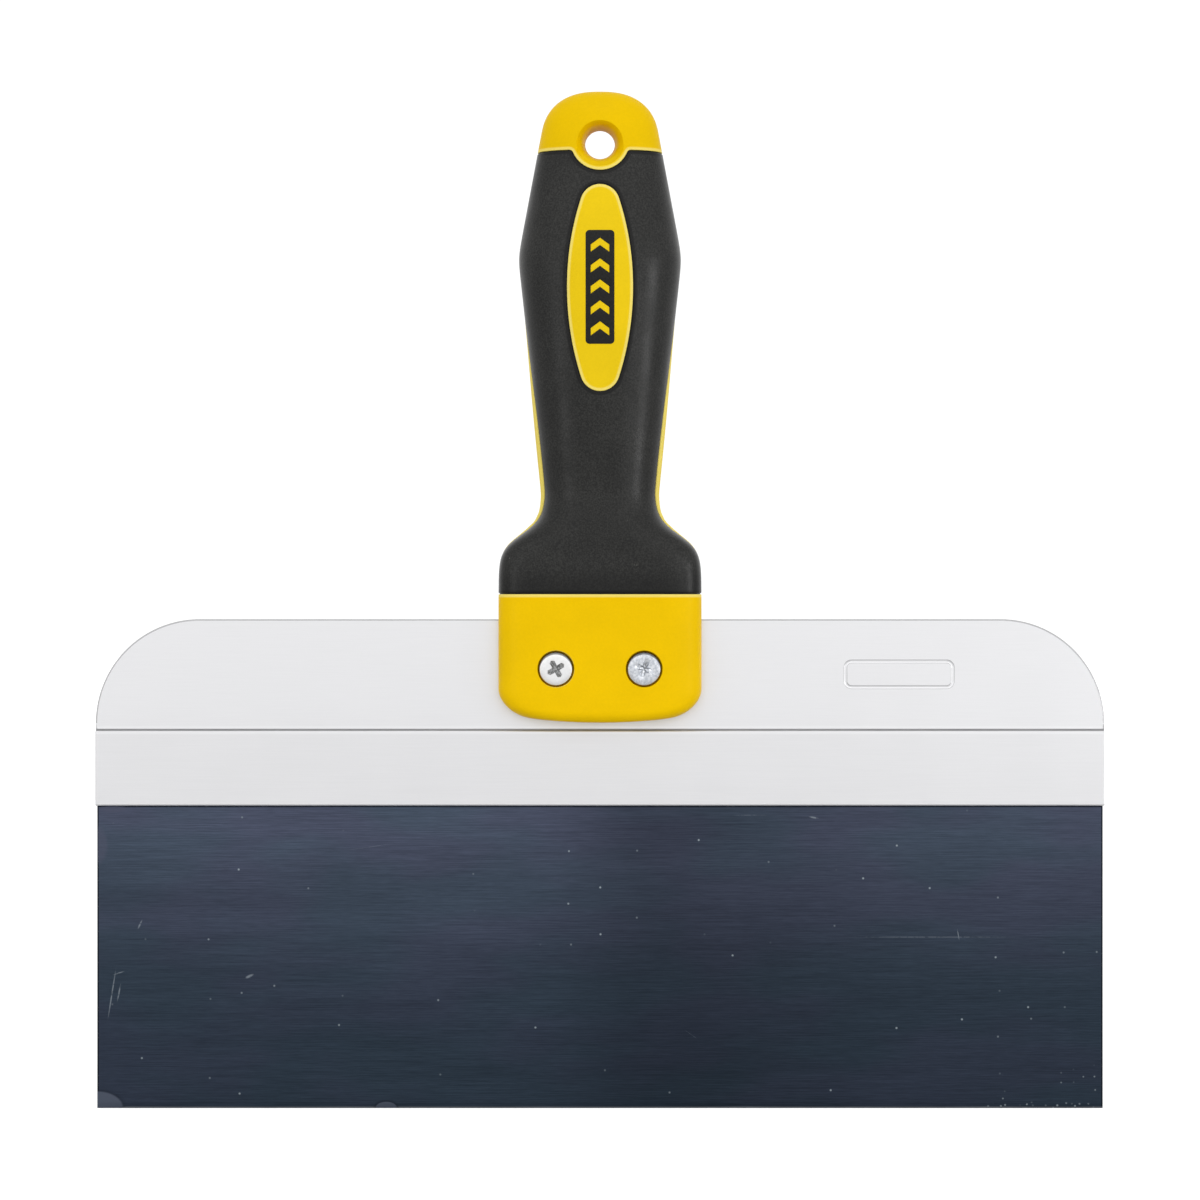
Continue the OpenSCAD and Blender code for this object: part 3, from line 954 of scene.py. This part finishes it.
def soft_rubber():
    """Black soft grip with a fine spark texture, painted shade along the seams and low down by the bolster,
    and a few pale scuffs.
    """
    look = Look("black_soft_grip", Specular_IOR_Level=0.22)
    grain = look.noise(2.4, 4, 0.65)
    worn = look.ramp(look.noise(0.07, 3, 0.6), 0.35, 0.65, 0.88, 1.12)
    pit, crest = (0.010, 0.010, 0.0095), (0.030, 0.030, 0.028)
    painted_seam_shade, scuff = (0.002, 0.002, 0.002), (0.25, 0.25, 0.23)
    colour = look.mix(look.ramp(grain, 0.35, 0.7), pit, crest)
    z = look.axes()[2]
    # painted shade: the grip darkens to half towards the bolster
    painted_foot_shade = look.ramp(z, bolster_top + 2, bolster_top + 8, 0.5, 1.0)
    colour = look.shade(colour, look.times(worn, painted_foot_shade))
    # painted shade: the rubber turns near black along the seams
    colour = look.mix(look.times(look.attribute("lip"), 0.8), colour, painted_seam_shade)
    flare_zone = look.ramp(z, flare_z + 14, flare_z + 2)
    scuffs = look.ramp(look.noise(0.9, 3, 0.6), 0.73, 0.78)
    share = look.times(scuffs, look.ramp(flare_zone, 0.0, 1.0, 0.15, 0.6))
    colour = look.mix(share, colour, scuff)
    look.paint(colour, look.vary(look.noise(0.12, 3), 0.29, 0.37))
    look.bump(grain, 0.55, 0.06)
    return look


def satin_aluminium():
    """Satin extrusion with faint drawn lines; painted shade darkens the band, the step line and the cut rim,
    and painted highlights and reflections brighten both sides of the step line and the band's foot.
    """
    look = Look("satin_aluminium", Metallic=1.0)
    z = look.axes()[2]
    up = look.maths("SUBTRACT", z, band_top)
    streak = look.noise(4.0, 3, 0.6, (0.02, 1, 1))
    # painted shade: the band is a little darker than the plate above it
    painted_band_shade = look.ramp(up, 0, 0.1, 0.965, 1.0)
    # painted reflection: the rounded foot of the band is brightened
    painted_foot_reflection = look.ramp(z, blade_show + 0.8, blade_show + 0.5, 1.0, 1.14)
    # painted shade in the fine groove along the top of the band; the groove is also rougher
    line = look.times(look.stripe(up, -0.25, 0, STEP_LINE, STEP_LINE + 0.1), 0.4)
    # painted highlight: thin bright lines on both sides of the step line
    above, below = look.stripe(up, 0.45, 0.6, 1.0, 1.2), look.stripe(up, -1.0, -0.8, -0.4, -0.25)
    beside_line = look.maths("MAXIMUM", above, below)
    painted_line_highlight = look.ramp(beside_line, 0.0, 1.0, 1.0, 1.06)
    # painted shade: the step line and the cut rim are darkened
    dull_and_painted_shade = look.maths("SUBTRACT", 1.0, look.maths("MAXIMUM", line, look.times(look.attribute("rim"), 0.4)))
    tone = look.times(painted_band_shade, dull_and_painted_shade, painted_foot_reflection, painted_line_highlight, look.vary(streak, 0.991, 1.009))
    rough = look.maths("ADD", look.vary(look.noise(0.06, 3), 0.36, 0.42), line)
    look.paint(look.shade((0.81, 0.81, 0.825), tone), rough)
    look.bump(streak, 0.05, 0.01)
    look.bump(look.noise(5.0, 2), 0.08, 0.01)
    return look


def blued_steel():
    """Blued spring steel with drawn grain, rubbed and scratched; painted shade darkens it in the middle under
    the handle, low down, and in a thin line under the band.
    """
    look = Look("blued_spring_steel", Metallic=1.0)
    rest = look.attribute("rest", "Vector")
    x, y, z = look.axes(rest)
    grain = look.noise(4.0, 4, 0.7, (0.012, 1, 1), rest)
    ticks = look.noise(4.5, 3, 0.7, (0.05, 1, 1), rest)
    bands = look.noise(0.16, 3, 0.6, (0.05, 1, 1), rest)
    cloud = look.noise(0.04, 4, 0.6, (0.5, 1, 1), rest)

    # painted shade: the blade darkens towards its working edge, here and in the height curve below
    colour = look.mix(look.ramp(z, 10, 70), (0.059, 0.082, 0.122), (0.073, 0.091, 0.135))
    drift = look.ramp(look.noise(0.05, 2, 0.5, (0.4, 1, 1), rest), 0.4, 0.6)
    tint = look.mix(drift, (0.95, 1.01, 0.98), (1.04, 0.97, 1.0))
    colour = look.mix(1.0, colour, tint, "MULTIPLY")
    painted_height_shade = look.curve(z, [
        (0, 0.56), (12, 0.535), (24, 0.56), (36, 0.60), (42, 0.67),
        (46, 0.72), (54, 0.72), (62, 0.82), (76, 1.0)])
    # painted shade: darker in the middle of the blade, most just below the handle
    middle = look.curve(x, [
        (-127, 0.1), (-60, 0.0), (-28, 0.02), (-10, 0.25), (4, 0.8),
        (18, 1.0), (38, 0.85), (75, 0.45), (127, 0.4)])
    painted_middle_shade = look.maths("SUBTRACT", 1.0, look.times(middle, look.ramp(z, 58, 72, 0.30, 0.43)))
    tone = look.times(
        painted_height_shade, painted_middle_shade, look.vary(grain, 0.82, 1.18), look.vary(ticks, 0.9, 1.1),
        look.vary(bands, 0.94, 1.06), look.ramp(cloud, 0.35, 0.65, 0.96, 1.04))
    colour = look.shade(colour, tone)

    w, t = blade_high[:2]
    edge_and_shadow_black, ground_grey = (0.008, 0.009, 0.013), (0.14, 0.155, 0.175)
    # near black along the side edges, and a painted shadow in a thin line just under the band
    rim = look.ramp(look.maths("ABSOLUTE", x), w - 0.42, w - 0.32)
    painted_band_shadow = look.ramp(z, blade_show - 0.45, blade_show - 0.3)
    colour = look.mix(look.times(look.maths("MAXIMUM", rim, painted_band_shadow), 0.88), colour, edge_and_shadow_black)
    ground = look.times(look.ramp(z, 0.5, 0.4), look.vary(grain, 0.4, 0.9))
    colour = look.mix(ground, colour, ground_grey)

    def marks(places, soft):
        """Where any mark of (x, z, length, width, turn) lies on the front face."""
        found = 0.0
        for cx, cz, length, width, turn in places:
            spot = look.spot(rest, (cx, -t, cz), (length / 2, 0.3, width / 2), turn, soft)
            found = look.maths("MAXIMUM", found, spot)
        return found

    rubbed = [(-w, 0, 13.0, 8.4, 0), (-54, 0, 5.4, 3.2, 0)]
    halo = marks([(cx, cz, length + 1, width + 1, turn) for cx, cz, length, width, turn in rubbed], 0.12)
    smears = marks([(-w, 66.5, 5.0, 9, 0), (-w + 4, blade_show - 0.8, 6.5, 1.6, 0)], 0.25)
    scratches = marks([
        (-123.3, 28.8, 10.5, 0.3, -81), (-121.5, 29.2, 3.6, 0.34, -79), (-121.6, 34.1, 2.4, 0.26, -18),
        (-116.2, 46.4, 2.0, 0.4, -65), (-88.6, 33.3, 2.0, 0.6, -25), (54, 73.4, 2.0, 0.4, 10),
        (90.5, 43.8, 2.4, 0.2, 80)], 0.5)
    faint_scratches = marks([
        (38, 74, 7, 0.2, 0), (23, 18.6, 3, 0.14, 35), (84, 43.2, 34, 0.3, 0), (-58, 66, 9, 0.14, -8)], 0.5)
    broken = look.ramp(look.noise(1.1, 2, 0.5, None, rest), 0.38, 0.55, 0.25, 1.0)
    colour = look.mix(look.times(halo, 0.45), colour, (0.014, 0.017, 0.025))
    colour = look.mix(look.times(marks(rubbed, 0.06), 0.8), colour, (0.10, 0.118, 0.16))
    colour = look.mix(look.times(smears, 0.5), colour, (0.088, 0.094, 0.14))
    colour = look.mix(look.times(scratches, broken, 0.6), colour, (0.26, 0.30, 0.34))
    colour = look.mix(look.times(faint_scratches, broken, 0.3), colour, (0.20, 0.23, 0.27))

    def specks(spacing, radius, share):
        """Small pale dots of differing strength, one to a cell, kept in only some cells."""
        flat = look.add("ShaderNodeCombineXYZ", {"X": x, "Y": z}).outputs[0]
        inputs = {"Vector": flat, "Scale": 1 / spacing}
        cells = look.add("ShaderNodeTexVoronoi", inputs, voronoi_dimensions="2D").outputs
        chance = look.add("ShaderNodeSeparateColor", {"Color": cells["Color"]}).outputs[0]
        strength = look.ramp(chance, share, 0.0, 0.0, 1.0, smooth=False)
        return look.times(strength, look.ramp(cells["Distance"], radius / spacing, 0.3 * radius / spacing))

    low_right = look.spot(rest, (w - 6, -t, 0), (24, 1, 9), 0, 0.3)
    low_edge = look.spot(rest, (w - 14, -t, 0), (18, 1, 1.4), 0, 0.3)
    dots = look.maths("MAXIMUM", specks(8.3, 0.36, 0.2), look.times(specks(2.9, 0.3, 0.3), low_right))
    dots = look.maths("MAXIMUM", dots, look.times(specks(1.1, 0.34, 0.5), low_edge))
    front = look.ramp(y, 0.05, -0.05)
    colour = look.mix(look.times(dots, front, 0.8), colour, (0.36, 0.42, 0.46))

    look.paint(colour, look.vary(grain, 0.36, 0.46))
    look.bump(grain, 0.2, 0.01)
    return look


def zinc():
    """Bright zinc plating, patchy and darkened by painted shade in the recesses, with a painted crescent
    shadow at the top of each head.
    """
    look = Look("zinc_steel", Metallic=1.0)
    x, y, z = look.axes()
    mottle = look.noise(1.6, 4, 0.6)
    # how dull and mottled the plating is: more so on the right-hand screw
    dull_and_painted_shade = look.ramp(x, -5, 5, 0.12, 1.0)
    mottled = look.times(look.ramp(mottle, 0.35, 0.65), dull_and_painted_shade)
    plating = look.mix(dull_and_painted_shade, (0.88, 0.88, 0.87), (0.78, 0.80, 0.84))
    colour = look.mix(mottled, plating, (0.52, 0.55, 0.60))
    front = screw_low[1]
    front_recess = look.times(look.ramp(y, front + 0.03, front + 0.5), look.ramp(y, 0.5, -0.5))
    back_recess = look.times(look.ramp(y, nut_high[1] - 0.06, nut_high[1] - 0.5), look.ramp(y, -0.5, 0.5))
    recess = look.maths("ADD", front_recess, back_recess)
    plated = look.ramp(look.noise(2.2, 3, 0.6), 0.42, 0.58, 0.5, 1.25)
    # painted shade: the recesses are darker, more so on the left screw; the plating noise there is patchy
    depth = look.ramp(recess, 0.0, 1.0, 1.0, look.mix(dull_and_painted_shade, (0.78, 0.78, 0.76), (0.95, 0.95, 0.95)))
    worn = look.ramp(recess, 0.0, 1.0, 1.0, plated)
    # painted shadow: a dark crescent along the top of each head, as if cast by the counterbore's upper rim
    across = look.maths("SUBTRACT", look.maths("ABSOLUTE", x), screw_x)
    up = look.maths("SUBTRACT", z, screw_z - 0.5)
    away = look.maths("SQRT", look.maths("ADD", look.times(across, across), look.times(up, up)))
    painted_crescent_shadow = look.ramp(away, head_d / 2 - 0.2, head_d / 2 + 0.1, 1.0, 0.25)
    look.paint(look.shade(colour, look.times(depth, worn, painted_crescent_shadow)), look.vary(mottle, 0.28, 0.42))
    look.bump(mottle, look.times(dull_and_painted_shade, 0.3), 0.03)
    return look


def badge_black():
    """Plain black plastic, a little grainy."""
    look = Look("badge_black", Specular_IOR_Level=0.15)
    grain = look.noise(2.6, 3)
    colour = look.mix(look.vary(grain, 0.0, 1.0), (0.009, 0.009, 0.009), (0.017, 0.017, 0.016))
    look.paint(colour, look.vary(grain, 0.45, 0.55))
    look.bump(grain, 0.2, 0.02)
    return look


# ---- pieces on their bodies ----

PIECES = [
    (make_core, yellow_plastic, "handle_core", "yellow_plastic"),
    (make_grip, soft_rubber, "soft_grip", "black_soft_grip"),
    (make_badge, badge_black, "badge_inlay", "black_soft_grip"),
    (make_backing, satin_aluminium, "backing", "aluminium_extrusion"),
    (make_screws, zinc, "handle_screws", "zinc_steel"),
    (make_nuts, zinc, "sleeve_nuts", "zinc_steel"),
    (make_blade, blued_steel, "blade", "blued_spring_steel"),
]
for make, look, node, slot in PIECES:
    piece = make()
    look().wear(piece)
    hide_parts(node)
    if node == "blade":
        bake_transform(piece)
    else:
        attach(piece, "handle")

# ---- floor, light and camera ----


def add_floor():
    """A plain pale floor, a hair below the working edge."""
    half, z = 8.0, -0.0003
    corners = [(-half, -half, z), (half, -half, z), (half, half, z), (-half, half, z)]
    mesh = bpy.data.meshes.new("floor")
    mesh.from_pydata(corners, [], [(0, 1, 2, 3)])
    floor = add_object("floor", mesh)
    look = Look("pale_floor", Roughness=0.9, Specular_IOR_Level=0.1)
    colour = look.mix(look.noise(0.004, 2), (0.44, 0.44, 0.44), (0.46, 0.46, 0.46))
    look.set(look.shader, "Base Color", colour)
    look.set(look.shader, "Emission Color", (1, 1, 1, 1))
    seen = look.add("ShaderNodeLightPath").outputs["Is Camera Ray"]
    look.set(look.shader, "Emission Strength", look.ramp(seen, 0.0, 1.0, 0.2, 0.8))
    look.wear(floor)


def add_softbox(name, azimuth, elevation, distance, width, height, power):
    """A soft area light aimed at the handle. Azimuth 0 is in front and 90 is at the right."""
    aim = Vector((0, 0, 0.15))
    a, e = math.radians(azimuth), math.radians(elevation)
    way = Vector((math.sin(a) * math.cos(e), -math.cos(a) * math.cos(e), math.sin(e)))
    data = bpy.data.lights.new(name, "AREA")
    data.shape = "RECTANGLE"
    data.size, data.size_y, data.energy = width, height, power
    light = add_object(name, data)
    light.location = aim + way * distance
    light.rotation_euler = (-way).to_track_quat("-Z", "Y").to_euler()


def add_world():
    """A soft pale room, brightest in front and darkest at the sides. The camera sees it plain."""
    world = bpy.data.worlds.new("studio")
    bpy.context.scene.world = world
    world.use_nodes = True
    nodes = Nodes(world.node_tree)
    generated = nodes.add("ShaderNodeTexCoord").outputs["Generated"]
    way = nodes.add("ShaderNodeSeparateXYZ", {0: generated}).outputs
    both_ends = nodes.ramp(nodes.maths("ABSOLUTE", way["Y"]), 0.0, 1.0, 0.75, 1.31, smooth=False)
    back_loss = nodes.ramp(way["Y"], 0.0, 1.0, 0.0, 0.3, smooth=False)
    sky_gain = nodes.ramp(way["Z"], 0.0, 0.9, 0.0, 0.07, smooth=False)
    room = nodes.maths("ADD", sky_gain, nodes.maths("SUBTRACT", both_ends, back_loss))
    seen = nodes.add("ShaderNodeLightPath").outputs["Is Camera Ray"]
    background = nodes.tree.nodes["Background"]
    nodes.set(background, "Strength", nodes.ramp(seen, 0.0, 1.0, room, 1.1, smooth=False))
    nodes.set(background, "Color", (1, 1, 1, 1))


def add_camera():
    """Square on to the front, a metre away, level with the middle of the knife."""
    data = bpy.data.cameras.new("camera")
    distance, view_width = 1.0, 0.3032
    data.sensor_width = 36
    data.lens = data.sensor_width * distance / view_width
    data.clip_start, data.clip_end = 0.01, 50
    camera = add_object("camera", data)
    camera.location = (0, -distance, crown_z / 2 * MM)
    camera.rotation_euler = (math.pi / 2, 0, 0)
    bpy.context.scene.camera = camera


add_floor()
add_world()
add_softbox("key", 57, -4, 1.1, 0.12, 0.3, 2.0)
add_softbox("fill", -43, -4, 1.2, 0.12, 0.3, 0.8)
add_softbox("near_fill", 33, -2, 1.2, 0.1, 0.16, 0.4)
add_softbox("overhead", 0, 66, 1.0, 0.3, 0.2, 0.35)
add_camera()
bpy.context.scene.view_settings.view_transform = "Standard"
